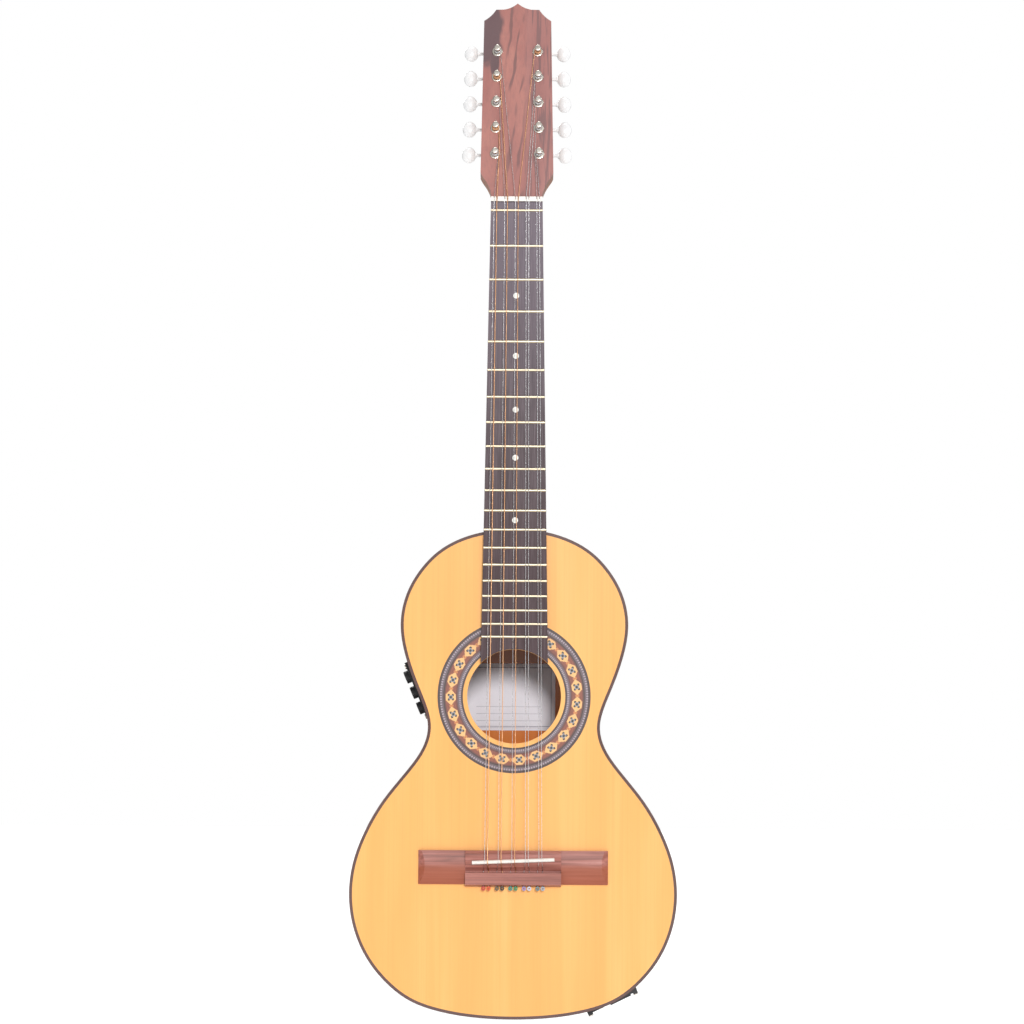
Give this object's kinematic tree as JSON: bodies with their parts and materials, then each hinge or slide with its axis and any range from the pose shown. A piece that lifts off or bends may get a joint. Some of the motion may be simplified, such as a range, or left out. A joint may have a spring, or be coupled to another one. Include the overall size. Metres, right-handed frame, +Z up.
{
  "type": "ten-string guitar",
  "caption": "Slim-waisted guitar-shaped instrument with five double courses, side tuners, mosaic rosette, tie bridge with ball ends, side preamp and end jack plate.",
  "frame": {"origin": "centreline at the head side of the nut, level with the soundboard's front face", "axes": "+Z up to the head, +X to the treble side, +Y to the back; the strings face -Y"},
  "size_m": [0.2946, 0.0989, 0.9302],
  "materials": {
    "battery_case": "plain dark can",
    "binding": "satin dark wood strip",
    "black_plastic": "fine textured black",
    "bone": "polished bone",
    "bronze": "bronze wound",
    "button_pearl": "pearl",
    "cedar": "raw cedar",
    "cedar_neck": "satin lacquered cedar",
    "coloured_ball": "coloured ball ends",
    "dark_rosewood": "oiled dark rosewood",
    "fret_metal": "polished nickel silver",
    "inlay": "dyed wood mosaic",
    "lead_jacket": "matt black jacket",
    "nickel": "nickel plated",
    "paper": "matt",
    "pearl": "pearl",
    "pickup": "plain",
    "rod_steel": "plain",
    "rosewood": "oiled rosewood",
    "rosewood_body": "satin lacquered rosewood",
    "spruce": "satin lacquered spruce",
    "spruce_brace": "raw spruce",
    "string_steel": "drawn wire"
  },
  "bodies": {
    "instrument": {"back_braces": "cedar", "back_plate": "rosewood_body", "bindings": "binding", "bridge": "rosewood", "bridge_plate": "rosewood", "end_plate": "black_plastic", "fingerboard": "dark_rosewood", "frets": "fret_metal", "head_veneer": "rosewood", "heel_cap": "rosewood", "jack_socket": "nickel", "label": "paper", "linings": "cedar", "neck": "cedar_neck", "neck_block": "cedar", "neck_rod": "rod_steel", "nut": "bone", "pickup_leads": "lead_jacket", "piezo_pickup": "pickup", "position_dots": "pearl", "post_bushings": "nickel", "preamp_box": "black_plastic", "preamp_panel": "black_plastic", "rosette": "inlay", "saddle": "bone", "side_bass": "rosewood_body", "side_treble": "rosewood_body", "small_screws": "nickel", "soundboard": "spruce", "string_balls": "coloured_ball", "strings_plain": "string_steel", "strings_wound": "bronze", "tail_block": "cedar", "top_braces": "spruce_brace", "tuner_plates": "nickel"},
    "button_1": {"tuner_button_1": "button_pearl"},
    "post_1": {"string_post_1": "nickel"},
    "button_2": {"tuner_button_2": "button_pearl"},
    "post_2": {"string_post_2": "nickel"},
    "button_3": {"tuner_button_3": "button_pearl"},
    "post_3": {"string_post_3": "nickel"},
    "button_4": {"tuner_button_4": "button_pearl"},
    "post_4": {"string_post_4": "nickel"},
    "button_5": {"tuner_button_5": "button_pearl"},
    "post_5": {"string_post_5": "nickel"},
    "button_6": {"tuner_button_6": "button_pearl"},
    "post_6": {"string_post_6": "nickel"},
    "button_7": {"tuner_button_7": "button_pearl"},
    "post_7": {"string_post_7": "nickel"},
    "button_8": {"tuner_button_8": "button_pearl"},
    "post_8": {"string_post_8": "nickel"},
    "button_9": {"tuner_button_9": "button_pearl"},
    "post_9": {"string_post_9": "nickel"},
    "button_10": {"tuner_button_10": "button_pearl"},
    "post_10": {"string_post_10": "nickel"},
    "knob_1": {"preamp_knob_1": "black_plastic"},
    "knob_2": {"preamp_knob_2": "black_plastic"},
    "knob_3": {"preamp_knob_3": "black_plastic"},
    "drawer": {"battery_drawer": "black_plastic", "battery": "battery_case"}
  },
  "joints": [
    {"name": "worm_1_spin", "type": "hinge", "parent": "instrument", "child": "button_1", "pos_m": [-0.01994, 0.03004, 0.04387], "axis": [-0.9999, 0.0033, 0.0141], "continuous": true},
    {"name": "post_1_spin", "type": "hinge", "parent": "instrument", "child": "post_1", "pos_m": [-0.02005, 0.00945, 0.04092], "axis": [0, -0.9744, 0.225], "continuous": true},
    {"name": "worm_2_spin", "type": "hinge", "parent": "instrument", "child": "button_2", "pos_m": [-0.01957, 0.03577, 0.06871], "axis": [-0.9999, 0.0033, 0.0141], "continuous": true},
    {"name": "post_2_spin", "type": "hinge", "parent": "instrument", "child": "post_2", "pos_m": [-0.01968, 0.01518, 0.06577], "axis": [0, -0.9744, 0.225], "continuous": true},
    {"name": "worm_3_spin", "type": "hinge", "parent": "instrument", "child": "button_3", "pos_m": [-0.0192, 0.04151, 0.09356], "axis": [-0.9999, 0.0033, 0.0141], "continuous": true},
    {"name": "post_3_spin", "type": "hinge", "parent": "instrument", "child": "post_3", "pos_m": [-0.01931, 0.02092, 0.09062], "axis": [0, -0.9744, 0.225], "continuous": true},
    {"name": "worm_4_spin", "type": "hinge", "parent": "instrument", "child": "button_4", "pos_m": [-0.01883, 0.04725, 0.11841], "axis": [-0.9999, 0.0033, 0.0141], "continuous": true},
    {"name": "post_4_spin", "type": "hinge", "parent": "instrument", "child": "post_4", "pos_m": [-0.01894, 0.02666, 0.11546], "axis": [0, -0.9744, 0.225], "continuous": true},
    {"name": "worm_5_spin", "type": "hinge", "parent": "instrument", "child": "button_5", "pos_m": [-0.01846, 0.05298, 0.14325], "axis": [-0.9999, 0.0033, 0.0141], "continuous": true},
    {"name": "post_5_spin", "type": "hinge", "parent": "instrument", "child": "post_5", "pos_m": [-0.01857, 0.03239, 0.14031], "axis": [0, -0.9744, 0.225], "continuous": true},
    {"name": "worm_6_spin", "type": "hinge", "parent": "instrument", "child": "button_6", "pos_m": [0.01846, 0.05298, 0.14325], "axis": [0.9999, 0.0033, 0.0141], "continuous": true},
    {"name": "post_6_spin", "type": "hinge", "parent": "instrument", "child": "post_6", "pos_m": [0.01857, 0.03239, 0.14031], "axis": [0, -0.9744, 0.225], "continuous": true},
    {"name": "worm_7_spin", "type": "hinge", "parent": "instrument", "child": "button_7", "pos_m": [0.01883, 0.04725, 0.11841], "axis": [0.9999, 0.0033, 0.0141], "continuous": true},
    {"name": "post_7_spin", "type": "hinge", "parent": "instrument", "child": "post_7", "pos_m": [0.01894, 0.02666, 0.11546], "axis": [0, -0.9744, 0.225], "continuous": true},
    {"name": "worm_8_spin", "type": "hinge", "parent": "instrument", "child": "button_8", "pos_m": [0.0192, 0.04151, 0.09356], "axis": [0.9999, 0.0033, 0.0141], "continuous": true},
    {"name": "post_8_spin", "type": "hinge", "parent": "instrument", "child": "post_8", "pos_m": [0.01931, 0.02092, 0.09062], "axis": [0, -0.9744, 0.225], "continuous": true},
    {"name": "worm_9_spin", "type": "hinge", "parent": "instrument", "child": "button_9", "pos_m": [0.01957, 0.03577, 0.06871], "axis": [0.9999, 0.0033, 0.0141], "continuous": true},
    {"name": "post_9_spin", "type": "hinge", "parent": "instrument", "child": "post_9", "pos_m": [0.01968, 0.01518, 0.06577], "axis": [0, -0.9744, 0.225], "continuous": true},
    {"name": "worm_10_spin", "type": "hinge", "parent": "instrument", "child": "button_10", "pos_m": [0.01994, 0.03004, 0.04387], "axis": [0.9999, 0.0033, 0.0141], "continuous": true},
    {"name": "post_10_spin", "type": "hinge", "parent": "instrument", "child": "post_10", "pos_m": [0.02005, 0.00945, 0.04092], "axis": [0, -0.9744, 0.225], "continuous": true},
    {"name": "knob_1_turn", "type": "hinge", "parent": "instrument", "child": "knob_1", "pos_m": [-0.09502, 0.03979, -0.4348], "axis": [-0.9225, 0, -0.3859], "range_deg": [-135, 135]},
    {"name": "knob_2_turn", "type": "hinge", "parent": "instrument", "child": "knob_2", "pos_m": [-0.08915, 0.03979, -0.44883], "axis": [-0.9225, 0, -0.3859], "range_deg": [-135, 135]},
    {"name": "knob_3_turn", "type": "hinge", "parent": "instrument", "child": "knob_3", "pos_m": [-0.08329, 0.03979, -0.46285], "axis": [-0.9225, 0, -0.3859], "range_deg": [-135, 135]},
    {"name": "drawer_slide", "type": "slide", "parent": "instrument", "child": "drawer", "axis": [0.4349, 0, -0.9005], "range_m": [0, 0.048]}
  ],
  "couplings": [
    {"joint": "post_1_spin", "follows": "worm_1_spin", "ratio": 0.066667},
    {"joint": "post_2_spin", "follows": "worm_2_spin", "ratio": 0.066667},
    {"joint": "post_3_spin", "follows": "worm_3_spin", "ratio": 0.066667},
    {"joint": "post_4_spin", "follows": "worm_4_spin", "ratio": 0.066667},
    {"joint": "post_5_spin", "follows": "worm_5_spin", "ratio": 0.066667},
    {"joint": "post_6_spin", "follows": "worm_6_spin", "ratio": 0.066667},
    {"joint": "post_7_spin", "follows": "worm_7_spin", "ratio": 0.066667},
    {"joint": "post_8_spin", "follows": "worm_8_spin", "ratio": 0.066667},
    {"joint": "post_9_spin", "follows": "worm_9_spin", "ratio": 0.066667},
    {"joint": "post_10_spin", "follows": "worm_10_spin", "ratio": 0.066667}
  ]
}
